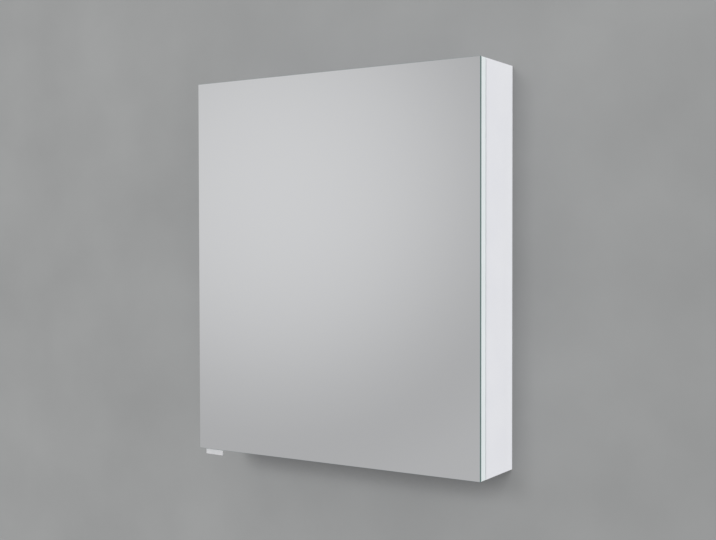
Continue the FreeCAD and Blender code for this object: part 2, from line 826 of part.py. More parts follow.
def hinge_cup(level):
    """A cup let into the door, with its flange, wings, pin holes and a notch for the links."""
    label = f"hinge_cup_{level}"
    z = HINGES[level]
    top = f"{DOOR_BACK} + cup_flange"
    floor = (CUP_X, f"{DOOR_BACK} - cup_depth", z)
    bowl = rod(label + "_bowl", "Y", floor, "cup_depth", "cup_radius - cup_bore_clearance")
    rim = (CUP_X, DOOR_BACK, z)
    flange = rod(label + "_flange", "Y", rim, "cup_flange", "cup_radius + cup_flange_width")
    wing_half = "(cup_screw_spacing / 2 + cup_wing_end)"
    wings = box(label + "_wings", about(CUP_X, "cup_wing_half_width"), (DOOR_BACK, top), about(z, wing_half))
    hollow_start = (CUP_X, f"{DOOR_BACK} - cup_depth + cup_wall", z)
    hollow = rod(
        label + "_hollow", "Y", hollow_start, "cup_depth + cup_flange + overrun", "cup_radius - cup_wall"
    )
    edge = f"({CUP_X} + cup_radius)"
    notch = box(
        label + "_notch",
        (f"{edge} - cup_notch_depth", f"{edge} + cup_flange_width + overrun"),
        (f"{DOOR_BACK} - cup_notch_drop", f"{top} + overrun"),
        about(z, "(fork_inner_half + fork_thickness + cup_notch_play)"),
    )
    tools = [hollow, notch]
    bore = "hinge_pin_radius + hinge_pin_clearance"
    for pin, (x, y) in CUP_PINS.items():
        start = (x, y, f"{z} - cup_radius")
        tools.append(rod(f"{label}_{pin}_pin_hole", "Z", start, "2 * cup_radius", bore))
    for name, at in cup_fixings(level):
        tools.append(screw_hole(f"{label}_screw_hole_{name}", "cup_screw", "Y", -1, at))
    node(cut(label, joined(label + "_solid", [bowl, flange, wings]), tools), label)


def hinge_pins():
    """The pins of the arms, and those of the cups, where the outer link turns on two stubs."""
    arm = []
    cup = []
    for level, z in HINGES.items():
        for pin, (x, y) in ARM_PINS.items():
            name = f"arm_pin_{pin}_{level}"
            arm.append(rod(name, "Z", (x, y, f"{z} - {ARM_HALF}"), f"2 * {ARM_HALF}", "hinge_pin_radius"))
        reach = cup_pin_reach("outer")
        x, y = CUP_PINS["outer"]
        for end, start in (("high", f"{z} + fork_inner_half"), ("low", f"{z} - {reach}")):
            name = f"cup_pin_outer_{level}_{end}"
            cup.append(rod(name, "Z", (x, y, start), f"{reach} - fork_inner_half", "hinge_pin_radius"))
        reach = cup_pin_reach("inner")
        start = (*CUP_PINS["inner"], f"{z} - {reach}")
        cup.append(rod(f"cup_pin_inner_{level}", "Z", start, f"2 * {reach}", "hinge_pin_radius"))
    group("hinge_arm_pins", arm)
    group("hinge_cup_pins", cup)


def hinge_screws():
    """The screws of the hinge plates and of the hinge arms."""
    plates = []
    arms = []
    for level in HINGES:
        for name, at in plate_fixings(level):
            plates.append(screw(f"plate_screw_{name}", "plate_screw", "X", 1, at))
        for name, at in arm_fixings(level):
            arms.append(screw(f"arm_screw_{name}", "arm_screw", "X", 1, at))
    group("hinge_plate_screws", plates)
    group("hinge_arm_screws", arms)


# Links and arms, whose slanted outlines run from pin to pin

def disc(centre, radius, low, high):
    """A round plate between two heights."""
    return Part.makeCylinder(radius, high - low, FreeCAD.Vector(centre.x, centre.y, low))


def strip(start, end, half_width, low, high):
    """A straight bar from one point to another, between two heights."""
    side = FreeCAD.Vector(start.y - end.y, end.x - start.x, 0).normalize() * half_width
    lift = FreeCAD.Vector(0, 0, low)
    corners = [start + side, start - side, end - side, end + side]
    face = Part.Face(Part.makePolygon([corner + lift for corner in corners + corners[:1]]))
    return face.extrude(FreeCAD.Vector(0, 0, high - low))


def fused(pieces):
    """One solid from overlapping pieces, without seams between flush faces."""
    return pieces[0].multiFuse(pieces[1:]).removeSplitter()


def feature(label, shape, height):
    """A sub-part shaped about height zero and then lifted to its place."""
    item = doc.addObject("Part::Feature", label)
    item.Shape = shape
    item.Placement = FreeCAD.Placement(FreeCAD.Vector(0, 0, height), FreeCAD.Rotation())
    node(item, label)


def pin_point(name):
    """The axis of a placed hinge pin as a point on the ground plane."""
    base = doc.getObject(name).Placement.Base
    return FreeCAD.Vector(base.x, base.y, 0)


def hinge_height(level):
    """The height of a hinge's middle, halfway up one of its arm pins."""
    pin = doc.getObject(f"arm_pin_outer_{level}")
    return pin.Placement.Base.z + pin.Height.Value / 2


def outer_link(level):
    """A forked link: two slim cheeks with an eye at each end, tied by a web near the arm."""
    arm_pin = pin_point(f"arm_pin_outer_{level}")
    cup_pin = pin_point(f"cup_pin_outer_{level}_high")
    inside = size("fork_inner_half")
    outside = inside + size("fork_thickness")
    bore = size("hinge_pin_radius") + size("hinge_pin_clearance")
    pieces = []
    for low, high in ((-outside, -inside), (inside, outside)):
        pieces.append(strip(arm_pin, cup_pin, size("link_half_width"), low, high))
        pieces += [disc(pin, size("link_eye_radius"), low, high) for pin in (arm_pin, cup_pin)]
    run = cup_pin - arm_pin
    web_start = arm_pin + run * size("fork_web_start_share")
    web_end = arm_pin + run * size("fork_web_end_share")
    pieces.append(strip(web_start, web_end, size("link_half_width"), -inside, inside))
    holes = [disc(pin, bore, -outside, outside) for pin in (arm_pin, cup_pin)]
    feature(f"outer_link_{level}", fused(pieces).cut(holes), hinge_height(level))


def inner_link(level):
    """A flat link that turns closely on its cup pin and has a wide eye about its arm pin."""
    arm_pin = pin_point(f"arm_pin_inner_{level}")
    cup_pin = pin_point(f"cup_pin_inner_{level}")
    half = size("fork_inner_half") - size("fork_play")
    close_bore = size("hinge_pin_radius") + size("hinge_pin_clearance")
    wide_bore = size("hinge_pin_radius") + size("inner_link_free_play")
    pieces = [
        strip(arm_pin, cup_pin, size("link_half_width"), -half, half),
        disc(cup_pin, size("link_eye_radius"), -half, half),
        disc(arm_pin, wide_bore + size("inner_link_free_eye_wall"), -half, half),
    ]
    holes = [disc(cup_pin, close_bore, -half, half), disc(arm_pin, wide_bore, -half, half)]
    feature(f"inner_link_{level}", fused(pieces).cut(holes), hinge_height(level))


def hinge_arm(level):
    """A folded steel arm: two cheeks that hold the link pins, and a web over the plate's spine."""
    outer_pin = pin_point(f"arm_pin_outer_{level}")
    inner_pin = pin_point(f"arm_pin_inner_{level}")
    inner_face = size("cabinet_width") / 2 - size("panel_thickness")
    back_start = size("arm_back_start") - size("carcass_depth")
    back_end = back_start + size("arm_back_length")
    web_x = inner_face - size("arm_height")
    middle_x = web_x + size("arm_cheek_depth") / 2
    neck = FreeCAD.Vector(middle_x, back_start + size("arm_neck_overlap"), 0)
    inside = size("fork_inner_half") + size("fork_thickness") + size("fork_play")
    outside = inside + size("arm_sheet")
    nose = size("arm_nose_radius")
    pieces = []
    for low, high in ((-outside, -inside), (inside, outside)):
        pieces += [disc(pin, nose, low, high) for pin in (inner_pin, outer_pin)]
        pieces.append(strip(inner_pin, outer_pin, nose, low, high))
        pieces.append(strip(outer_pin, neck, nose, low, high))
        pieces.append(
            strip(
                FreeCAD.Vector(middle_x, back_start, 0), FreeCAD.Vector(middle_x, back_end, 0),
                size("arm_cheek_depth") / 2, low, high,
            )
        )
    web_middle = web_x + size("arm_sheet") / 2
    pieces.append(
        strip(
            FreeCAD.Vector(web_middle, back_start, 0), FreeCAD.Vector(web_middle, back_end, 0),
            size("arm_sheet") / 2, -outside, outside,
        )
    )
    bore = size("hinge_pin_radius") + size("hinge_pin_clearance")
    holes = [disc(pin, bore, -outside, outside) for pin in (inner_pin, outer_pin)]
    screw_bore = size("arm_screw_radius") + size("screw_clearance")
    for way in (-1, 1):
        y = (back_start + back_end + way * size("arm_screw_spacing")) / 2
        start = FreeCAD.Vector(web_x - size("overrun"), y, 0)
        length = size("arm_sheet") + 2 * size("overrun")
        holes.append(Part.makeCylinder(screw_bore, length, start, FreeCAD.Vector(1, 0, 0)))
    feature(f"hinge_arm_{level}", fused(pieces).cut(holes), hinge_height(level))


# The whole cabinet

for side in SIDES:
    side_panel(side)
    hanger(side)
for level in ("top", "bottom"):
    level_panel(level)
back_panel()
carcass_dowels()
wall_rail()
hanger_screws()
hinge_pins()
doc.recompute()
for level in HINGES:
    glass_shelf(level)
    shelf_pins(level)
    hinge_plate(level)
    hinge_arm(level)
    hinge_cup(level)
    outer_link(level)
    inner_link(level)
hinge_screws()
door_board()
edge_bands()
door_mirrors()
finger_grip()
door_screws()
door_bumpers()

doc.recompute()
for item in doc.Objects:
    if "Invalid" in item.State or "Error" in item.State:
        raise RuntimeError(f"{item.Name} failed: {item.State}")
for item in nodes:
    if item.Shape.isNull() or not item.Shape.isValid() or not item.Shape.Solids:
        raise RuntimeError(f"{item.Label} has no valid solid")

os.makedirs("parts", exist_ok=True)
for item in nodes:
    item.Shape.exportStep(f"parts/{item.Label}.step")
    print(item.Label, len(item.Shape.Solids), round(item.Shape.Volume))
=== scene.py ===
import math
import bpy
import numpy as np
from mathutils import Matrix, Vector


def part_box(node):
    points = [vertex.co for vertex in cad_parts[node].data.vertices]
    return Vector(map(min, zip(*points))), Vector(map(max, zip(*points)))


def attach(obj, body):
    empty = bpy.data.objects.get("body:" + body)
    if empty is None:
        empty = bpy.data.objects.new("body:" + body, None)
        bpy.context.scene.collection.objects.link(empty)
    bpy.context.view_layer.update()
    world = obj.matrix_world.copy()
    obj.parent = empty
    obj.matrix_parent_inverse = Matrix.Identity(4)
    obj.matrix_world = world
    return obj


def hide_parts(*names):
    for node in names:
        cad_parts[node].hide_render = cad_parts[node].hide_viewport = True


# A wall-hung cabinet with one mirror door. X runs to the right, Y towards the wall and Z up, in metres.
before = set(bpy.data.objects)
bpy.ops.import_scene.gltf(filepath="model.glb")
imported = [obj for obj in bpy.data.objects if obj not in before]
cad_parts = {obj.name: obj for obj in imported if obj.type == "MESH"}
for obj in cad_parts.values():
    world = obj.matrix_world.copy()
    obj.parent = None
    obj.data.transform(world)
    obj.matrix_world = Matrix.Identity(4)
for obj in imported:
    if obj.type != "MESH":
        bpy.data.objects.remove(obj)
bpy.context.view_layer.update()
MM = 0.001
SIDES = (-1, 1)

# Places that the fittings share with the solids, in millimetres
SIDE_INNER = 284.0
CARCASS_FRONT = -103.0
DOOR_BACK = -105.0
BOARD_FRONT = -121.0
GLASS_FRONT = -126.0
REAR_GLASS_FACE = -102.0
DOWEL_START = 265.0
DOWEL_ROWS = (CARCASS_FRONT + 24.0, -44.0)
DOWEL_HEIGHTS = (37.0, -647.0)
STOP_DISC_MIDDLE = -292.0
STOP_DISC_HEIGHTS = (15.0, -625.0)
SHELF_UNDERSIDES = {"upper": -174.5, "lower": -430.5}
SHELF_GLASS = 5.0
PEG_DROP = 2.5
PEG_ROWS = (CARCASS_FRONT + 30.0, -42.0)
HANGER_FIXING_FACE, HANGER_FIXING_ROW = 266.0, -39.0
HANGER_FIXING_HEIGHTS = (-16.035, -24.87)
HANGER_ADJUSTER_COLUMN, HANGER_ADJUSTER_FACE = 275.0, -54.0
HANGER_ADJUSTER_HEIGHTS = (3.06, -8.91)
HINGE_HEIGHTS = {"upper": -55.0, "lower": -555.0}
HINGE_PLATE_MIDDLE = CARCASS_FRONT + 37.0
HINGE_PLATE_FACE = 282.0
HINGE_ARM_FACE = 267.0
LINK_PINS_ON_ARM = ((259.0, CARCASS_FRONT + 10.25), (255.0, CARCASS_FRONT + 3.8))
CUP_CENTRE = (277.5, DOOR_BACK)
CUP_FLANGE = 1.2
GRIP_LOW, GRIP_HIGH = (np.array(corner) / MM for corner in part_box("finger_grip"))
GRIP_SHEET = 2.0


# Surfaces

def turned_to(axis, way, at):
    """Turn rows of points drawn about a line h into place: h runs along an axis of the cabinet, one way
    or the other, from a point in millimetres, and the two other axes keep a right-handed order."""
    along = "XYZ".index(axis)

    def place(across, up, h):
        spots = np.empty(across.shape + (3,))
        spots[..., along] = at[along] + way * h
        spots[..., (along + 1) % 3] = at[(along + 1) % 3] + across
        spots[..., (along + 2) % 3] = at[(along + 2) % 3] + up
        return spots * MM

    return place


def skin(loops):
    """A closed shell over a stack of closed loops, given as an array of rows, points and coordinates.
    Quads join each loop to the next, a flat face ends the stack at both sides, and the whole is turned
    over where the volume under its faces comes out negative."""
    rows, points, _ = loops.shape
    index = np.arange(rows * points).reshape(rows, points)
    ahead = np.roll(index, -1, axis=1)
    quads = np.stack((index[:-1], ahead[:-1], ahead[1:], index[1:]), axis=-1).reshape(-1, 4)
    spots = loops.reshape(-1, 3)
    a, b, c, d = (spots[quads[:, corner]] - spots.mean(0) for corner in range(4))
    volume = np.sum(a * np.cross(b, c)) + np.sum(a * np.cross(c, d))
    faces = quads.tolist() + [index[0, ::-1].tolist(), index[-1].tolist()]
    if volume < 0:
        faces = [face[::-1] for face in faces]
    return spots, faces


def circle(points):
    """Evenly spaced angles once round."""
    return np.linspace(0, 2 * np.pi, points, endpoint=False)


def profile(*stretches):
    """One line through several stretches of (radius, height) points."""
    return np.concatenate([np.atleast_2d(stretch) for stretch in stretches]).T


def arc(centre, radius, start, end, points):
    """A stretch of a profile on a circle about a centre, between two angles in degrees."""
    turn = np.radians(np.linspace(start, end, points))
    return np.stack((centre[0] + radius * np.cos(turn), centre[1] + radius * np.sin(turn)), axis=-1)


def lathe(line, place, points=40, flutes=0, flute_depth=0.0):
    """A surface of revolution: a profile of radius and height goes round a line, and where flutes are
    given the radius is cut back by their depth times a squared cosine of the angle."""
    radius, height = line
    turn = circle(points)
    groove = 1 - flute_depth * np.cos(flutes * turn / 2) ** 2
    reach = radius[:, None] * groove[None, :]
    h = np.broadcast_to(height[:, None], reach.shape)
    return skin(place(reach * np.cos(turn), reach * np.sin(turn), h))


# Cross recess of a screw in millimetres, and the share of the head's radius that its bars reach
RECESS_WIDTH, RECESS_DEPTH, RECESS_SLOPE = 0.9, 0.9, 0.25
RECESS_SHARE = 0.62
# Top of a screw head, from and to a share of its radius, and the rounded rim as shares of radius and height
HEAD_TOP, TOP_ROWS = (0.03, 0.86), 18
HEAD_RIM = ((0.93, 0.78), (0.98, 0.66), (1.0, 0.5), (1.0, 0.08), (0.97, 0.0))
# Crown as a share of the head's height, thread depth and tip length in shank radii, and the tip's blunt end
CROWN, THREAD_DEPTH, TIP_LENGTH, TIP_BLUNT = 0.2, 0.16, 2.2, 0.08
SCREW_POINTS, ROWS_TO_PITCH = 48, 6


def cross_screw(place, radius, length, head_radius, head_height, pitch=1.6):
    """A pan-head screw from a profile turned about its line. The top of the head sinks by a cross, which is
    the larger of two crossed bars with sloped walls. The shank's radius follows a cosine of the height
    in pitches less the angle, which is a thread, and it shrinks evenly to nothing over the tip."""
    turn = circle(SCREW_POINTS)
    rim_r, rim_h = np.array(HEAD_RIM).T * ((head_radius,), (-head_height,))
    top_r = np.linspace(*HEAD_TOP, TOP_ROWS) * head_radius
    top_h = -head_height + head_height * CROWN * (top_r / head_radius) ** 2
    reach = np.concatenate((top_r, rim_r))
    h = np.concatenate((top_h, rim_h))
    x = reach[:, None] * np.cos(turn)
    y = reach[:, None] * np.sin(turn)
    narrow = np.minimum(np.abs(x), np.abs(y))
    wide = np.maximum(np.abs(x), np.abs(y))
    inside = np.clip((RECESS_WIDTH / 2 + RECESS_SLOPE - narrow) / RECESS_SLOPE, 0, 1)
    inside = inside * np.clip((head_radius * RECESS_SHARE - wide) / RECESS_SLOPE, 0, 1)
    head = place(x, y, h[:, None] + RECESS_DEPTH * inside)
    shank_h = np.linspace(0, length, int(length / pitch * ROWS_TO_PITCH))[:, None]
    depth = THREAD_DEPTH * radius * np.clip(shank_h / pitch, 0, 1)
    thread = radius - depth * (1 + np.cos(2 * np.pi * shank_h / pitch - turn))
    taper = np.clip((length - shank_h) / (TIP_LENGTH * radius) + TIP_BLUNT, 0, 1)
    shank = place(thread * taper * np.cos(turn), thread * taper * np.sin(turn), shank_h + 0 * turn)
    return skin(np.concatenate((head, shank)))


def eased(corners, radii, points=5):
    """A closed outline whose corners are eased: each corner becomes the curve that leaves one side at its
    radius from the corner, bends towards the corner, and meets the next side at the same distance."""
    corners = np.array(corners, float)
    radii = np.array(radii, float)[:, None]
    before = np.roll(corners, 1, axis=0) - corners
    after = np.roll(corners, -1, axis=0) - corners
    start = corners + radii * before / np.linalg.norm(before, axis=1, keepdims=True)
    end = corners + radii * after / np.linalg.norm(after, axis=1, keepdims=True)
    t = np.linspace(0, 1, points)[None, :, None]
    bent = (1 - t) ** 2 * start[:, None] + 2 * t * (1 - t) * corners[:, None] + t ** 2 * end[:, None]
    return bent.reshape(-1, 2)


def pressed_cup(height):
    """A hinge cup as loops about its middle. Going out from under the floor, each loop's radius and height
    follow the bowl's outside, the underside of the flange out to the wings, the rolled edge, the top,
    the rounded mouth and the bowl's inside. The flange reaches the larger of a circle and a rounded
    oblong at each angle. Over the link notch the reach ends at the bowl and the height at the notch."""
    wall, depth, bowl, ring, pole = 0.9, 12.5, 17.4, 19.5, 0.3
    half_width, half_length, power = 8.0, 29.0, 8.0
    notch_half, notch_drop = 6.6, 4.0
    foot_round, floor_round, mouth_round = 2.0, 1.6, 1.0
    inner, floor, edge = bowl - wall, wall - depth, CUP_FLANGE / 2
    turn = circle(240)
    across, up = np.cos(turn), np.sin(turn)
    oblong = np.abs(across / half_width) ** power + np.abs(up / half_length) ** power
    reach = np.maximum(ring, oblong ** (-1 / power))
    outside = profile(
        [(pole, -depth), (bowl - 1.5 * foot_round, -depth)],
        arc((bowl - foot_round, -depth + foot_round), foot_round, -90, 0, 8),
        [(bowl, -CUP_FLANGE), (bowl, 0.0)],
    )
    rolled = profile(arc((-edge, edge), edge, -90, 90, 7))
    mouth = profile(
        arc((inner + mouth_round, CUP_FLANGE - mouth_round), mouth_round, 90, 180, 6),
        [(inner, -depth / 2)],
        arc((inner - floor_round, floor + floor_round), floor_round, 0, -90, 8),
        [(inner / 2, floor), (pole, floor)],
    )
    flat = np.ones_like(turn)
    radius = np.concatenate((outside[0][:, None] * flat, reach + rolled[0][:, None], mouth[0][:, None] * flat))
    level = np.concatenate((outside[1], rolled[1], mouth[1]))[:, None] * flat
    notched = (across > 0) & (np.abs(up) * inner < notch_half)
    radius = np.where(notched, np.minimum(radius, bowl), radius)
    level = np.where(notched, np.minimum(level, -notch_drop), level)
    spots = np.empty(radius.shape + (3,))
    spots[..., 0] = CUP_CENTRE[0] + radius * across
    spots[..., 1] = CUP_CENTRE[1] + level
    spots[..., 2] = height + radius * up
    return skin(spots * MM)


def piece(name, shells, body, coat, slot, *nodes, crease=35):
    """Put closed shells into one mesh, ride it on its body and let it stand for the solids it replaces."""
    spots = np.concatenate([shell[0] for shell in shells])
    starts = np.cumsum([0] + [len(shell[0]) for shell in shells])
    faces = [[start + spot for spot in face] for start, shell in zip(starts, shells) for face in shell[1]]
    mesh = bpy.data.meshes.new(name)
    mesh.from_pydata(spots.tolist(), [], faces)
    mesh.shade_smooth()
    mesh.set_sharp_from_angle(angle=math.radians(crease))
    mesh.materials.append(coat)
    made = bpy.data.objects.new(name, mesh)
    bpy.context.scene.collection.objects.link(made)
    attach(made, body)
    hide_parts(*nodes)
    return made


def break_edges(target, name, width, angle):
    """Round over a width in millimetres the edges that turn by more than an angle in degrees."""
    arris = target.modifiers.new(name, "BEVEL")
    arris.width = width * MM
    arris.segments = 2
    arris.limit_method = "ANGLE"
    arris.angle_limit = math.radians(angle)


# Finishes

def srgb(text):
    """A hex colour as linear red, green, blue and alpha."""
    shares = np.array([int(text[start:start + 2], 16) / 255 for start in (1, 3, 5)])
    linear = np.where(shares <= 0.04045, shares / 12.92, ((shares + 0.055) / 1.055) ** 2.4)
    return (*linear.tolist(), 1.0)


def add(tree, kind, sockets=None, **settings):
    """Add a node with its settings; a socket takes a plain value or the output of another node."""
    made = tree.nodes.new("ShaderNode" + kind)
    for field, value in settings.items():
        setattr(made, field, value)
    for socket, value in (sockets or {}).items():
        if isinstance(value, bpy.types.NodeSocket):
            tree.links.new(value, made.inputs[socket])
        else:
            made.inputs[socket].default_value = value
    return made


def finish(name, **sockets):
    """A new material with one shader whose plain values are set on its own sockets, and the piece's own
    coordinates for its patterns."""
    made = bpy.data.materials.new(name)
    made.use_nodes = True
    tree = made.node_tree
    tree.nodes.clear()
    shader = add(tree, "BsdfPrincipled", {key.replace("_", " "): value for key, value in sockets.items()})
    add(tree, "OutputMaterial", {"Surface": shader.outputs[0]})
    return made, tree, shader, add(tree, "TexCoord").outputs["Object"]


def per(width):
    """Pattern repeats to the metre for a feature of some width in millimetres."""
    return 1 / (width * MM)


def shaded(tree, pattern, low, high):
    """A colour that goes from one hex value to another over the middle range of a pattern."""
    ramp = add(tree, "ValToRGB", {"Fac": pattern})
    for element, (position, colour) in zip(ramp.color_ramp.elements, ((0.3, low), (0.7, high))):
        element.position = position
        element.color = srgb(colour)
    return ramp.outputs["Color"]


def grained(name, colours, widths, stretch, rough, bump, **sockets):
    """A finish whose colour drifts between two near tones over broad patches, and whose roughness and
    fine relief follow a second, finer grain. Widths are the patch and the grain in millimetres, stretch
    draws the grain out along an axis, and bump is the relief's height in millimetres."""
    made, tree, shader, place = finish(name, **sockets)
    patch = add(tree, "TexNoise", {"Vector": place, "Scale": per(widths[0]), "Detail": 3.0})
    tone = shaded(tree, patch.outputs["Fac"], *colours)
    drawn = add(tree, "Mapping", {"Vector": place, "Scale": stretch})
    grain = add(tree, "TexNoise", {"Vector": drawn.outputs[0], "Scale": per(widths[1]), "Detail": 4.0})
    gloss = add(tree, "MapRange", {"Value": grain.outputs["Fac"], "From Min": 0.3, "From Max": 0.7,
                                   "To Min": rough[0], "To Max": rough[1]})
    relief = add(tree, "Bump", {"Height": grain.outputs["Fac"], "Strength": 1.0, "Distance": bump * MM})
    tree.links.new(tone, shader.inputs["Base Color"])
    tree.links.new(gloss.outputs[0], shader.inputs["Roughness"])
    tree.links.new(relief.outputs[0], shader.inputs["Normal"])
    return made


EVEN = (1, 1, 1)
# Sprayed satin lacquer on fibreboard: a soft sheen with the faint orange peel of the spray, about 3 mm
lacquer = grained("sprayed_satin_white_lacquer", ("#E3E4E9", "#E6E7EB"), (90, 3), EVEN, (0.3, 0.38), 0.006,
                  IOR=1.5)
# Foil on hardboard: flatter and a little warmer than the lacquer, with a fine press grain
foil = grained("white_foil_on_hardboard", ("#DEDEDE", "#E2E2E1"), (60, 1.5), EVEN, (0.42, 0.5), 0.01,
               IOR=1.48)
# Melamine facing pressed on chipboard: a pearl texture of about 1 mm, drawn at 1.5 mm so that it shows
melamine = grained("pressed_white_melamine", ("#E1E1E0", "#E5E5E4"), (70, 1.5), EVEN, (0.36, 0.46), 0.012,
                   IOR=1.5)
# Extruded edge band, scraped flush: smooth and slightly cool, with faint lines along its length
band = grained("extruded_abs_edge_band", ("#DFE7E8", "#E4EBEC"), (120, 1.2), (1, 1, 0.02), (0.2, 0.28), 0.003,
               IOR=1.53)
# Spark-textured mould: a dry, even grain of about 0.5 mm, drawn at 1 mm so that it shows
moulded = grained("moulded_white_abs", ("#DDDDDA", "#E2E2DF"), (25, 1), EVEN, (0.42, 0.55), 0.02, IOR=1.53)
# Nickel plate on pressed steel: warm bright metal with a fine rolled grain along the part
nickel = grained("nickel_plated_pressed_steel", ("#D9D6D1", "#DDDAD5"), (30, 0.8), (1, 0.12, 1), (0.2, 0.25),
                 0.0003, Metallic=1.0)
# Zinc plate: a cooler, cloudy metal with patches of a few millimetres
zinc = grained("zinc_plated_steel", ("#C6CBD1", "#D9DAD8"), (9, 1.5), EVEN, (0.32, 0.48), 0.006, Metallic=1.0)
# Bead-blasted and anodised aluminium: an even silver-white with a soft, broad sheen. The blast marks are
# 0.2 mm and are drawn at 0.8 mm so that they show
satin_aluminium = grained("bead_blasted_anodised_aluminium", ("#F0F1F2", "#F5F5F6"), (10, 0.8), EVEN,
                          (0.62, 0.72), 0.008, Metallic=1.0)
# Cast polyurethane: a soft, milky disc that lets some light through
bumper_gel = grained("cast_clear_polyurethane", ("#DCE2E2", "#E6EAEA"), (3, 0.6), EVEN, (0.2, 0.32), 0.01,
                     IOR=1.5, Transmission_Weight=0.55)
# Turned beech: pale brown with short darker flecks along the dowel
beech = grained("turned_beech", ("#C69C68", "#DAB98B"), (2.2, 0.8), (0.15, 1, 1), (0.5, 0.65), 0.03, IOR=1.5)


def silvered(name, face, backing):
    """Float glass with a silvered back: bright where the Y place lies on the viewed face, the paint of its
    backing on the far face, and ground green glass on the edges between them. The reach of the face is
    a few hundredths of a millimetre. A slow roller wave of 90 mm moves the reflection a little."""
    made, tree, shader, place = finish(name, IOR=1.52)
    reach = 0.05 * MM
    depth = add(tree, "SeparateXYZ", {"Vector": place}).outputs["Y"]
    bright = add(tree, "Math", {0: depth, 1: face * MM, 2: reach}, operation="COMPARE").outputs[0]
    rear = add(tree, "Math", {0: depth, 1: backing * MM, 2: reach}, operation="COMPARE").outputs[0]
    grind = add(tree, "TexNoise", {"Vector": place, "Scale": per(1.2), "Detail": 3.0})
    green = shaded(tree, grind.outputs["Fac"], "#4E6765", "#617A78")
    painted = add(tree, "Mix", {"Factor": rear, 6: green, 7: srgb("#7C7F80")}, data_type="RGBA").outputs[2]
    silver = add(tree, "Mix", {"Factor": bright, 6: painted, 7: srgb("#F6F7F8")}, data_type="RGBA").outputs[2]
    dull = add(tree, "MapRange", {"Value": bright, "To Min": 0.38, "To Max": 0.025}).outputs[0]
    wave = add(tree, "TexNoise", {"Vector": place, "Scale": per(90), "Detail": 1.0})
    relief = add(tree, "Bump", {"Height": wave.outputs["Fac"], "Strength": 0.6, "Distance": 0.05 * MM})
    tree.links.new(silver, shader.inputs["Base Color"])
    tree.links.new(bright, shader.inputs["Metallic"])
    tree.links.new(dull, shader.inputs["Roughness"])
    tree.links.new(relief.outputs[0], shader.inputs["Normal"])
    return made


def clear_float(name, underside):
    """Clear float glass: nearly colourless through its broad faces, found by their distance from the
    middle of the glass, and bottle green through its long edges, where light travels far in the glass."""
    made, tree, shader, place = finish(name, IOR=1.52, Transmission_Weight=1.0)
    half = SHELF_GLASS / 2
    face_reach = 0.1
    up = add(tree, "SeparateXYZ", {"Vector": place}).outputs["Z"]
    lift = add(tree, "Math", {0: up, 1: (underside + half) * MM}, operation="SUBTRACT").outputs[0]
    away = add(tree, "Math", {0: lift}, operation="ABSOLUTE").outputs[0]
    broad = add(tree, "Math", {0: away, 1: (half - face_reach) * MM}, operation="GREATER_THAN").outputs[0]
    streak = add(tree, "TexNoise", {"Vector": place, "Scale": per(40), "Detail": 2.0})
    edge = shaded(tree, streak.outputs["Fac"], "#8FC4B0", "#A6D3C3")
    tint = add(tree, "Mix", {"Factor": broad, 6: edge, 7: srgb("#F3FAF7")}, data_type="RGBA").outputs[2]
    film = add(tree, "MapRange", {"Value": streak.outputs["Fac"], "To Min": 0.0, "To Max": 0.03}).outputs[0]
    tree.links.new(tint, shader.inputs["Base Color"])
    tree.links.new(film, shader.inputs["Roughness"])
    return made


# Solids that stay as they are, with their finishes
PANELS = ("left_side_panel", "right_side_panel", "top_panel", "bottom_panel")
EDGE_BANDS = ("door_edge_band_left", "door_edge_band_right", "door_edge_band_top", "door_edge_band_bottom")
HOOKS = ("hanger_hook_left", "hanger_hook_right")
HOUSINGS = ("hanger_housing_left", "hanger_housing_right")
HINGE_PLATES = ("hinge_plate_upper", "hinge_plate_lower")
ARMS_AND_LINKS = (
    "hinge_arm_upper", "hinge_arm_lower", "outer_link_upper", "outer_link_lower", "inner_link_upper",
    "inner_link_lower",
)
SOLID_FINISHES = (
    (lacquer, PANELS),
    (foil, ("back_panel",)),
    (melamine, ("door_board",)),
    (band, EDGE_BANDS),
    (silvered("silvered_front_glass", GLASS_FRONT, BOARD_FRONT), ("front_mirror",)),
    (silvered("silvered_rear_glass", REAR_GLASS_FACE, DOOR_BACK), ("rear_mirror",)),
    (clear_float("polished_upper_glass", SHELF_UNDERSIDES["upper"]), ("upper_glass_shelf",)),
    (clear_float("polished_lower_glass", SHELF_UNDERSIDES["lower"]), ("lower_glass_shelf",)),
    (zinc, ("wall_rail", *HOOKS)),
    (moulded, HOUSINGS),
    (nickel, (*HINGE_PLATES, *ARMS_AND_LINKS, "hinge_cup_pins")),
)
for coat, labels in SOLID_FINISHES:
    for label in labels:
        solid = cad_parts[label]
        solid.data.materials.clear()
        solid.data.materials.append(coat)

# Broken edges: the arris that sanding, scraping or pressing leaves, in millimetres
ARRISES = (
    (0.5, (*PANELS, "wall_rail")),
    (0.3, EDGE_BANDS),
    (0.8, HOUSINGS),
    (0.4, (*HOOKS, *HINGE_PLATES)),
    (0.25, ARMS_AND_LINKS),
)
JOIN_REACH = 0.0005
for width, labels in ARRISES:
    for label in labels:
        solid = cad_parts[label]
        weld = solid.modifiers.new("joined_faces", "WELD")
        weld.merge_threshold = JOIN_REACH * MM
        plain = solid.modifiers.new("plain_faces", "DECIMATE")
        plain.decimate_type = "DISSOLVE"
        plain.angle_limit = math.radians(1)
        break_edges(solid, "broken_edges", width, 40)

# Fittings

# Sizes of a screw: shank radius and length, head radius and height
FIXING = (2.0, 28.0, 3.6, 1.8)
ADJUSTER = (2.5, 16.0, 4.0, 2.0)
PLATE_SCREW = (2.2, 14.0, 3.8, 1.8)
ARM_SCREW = (2.4, 9.0, 3.4, 1.5)
CUP_SCREW = (1.8, 12.0, 3.2, 1.4)
GRIP_SCREW = (1.5, 14.0, 2.8, 1.4)
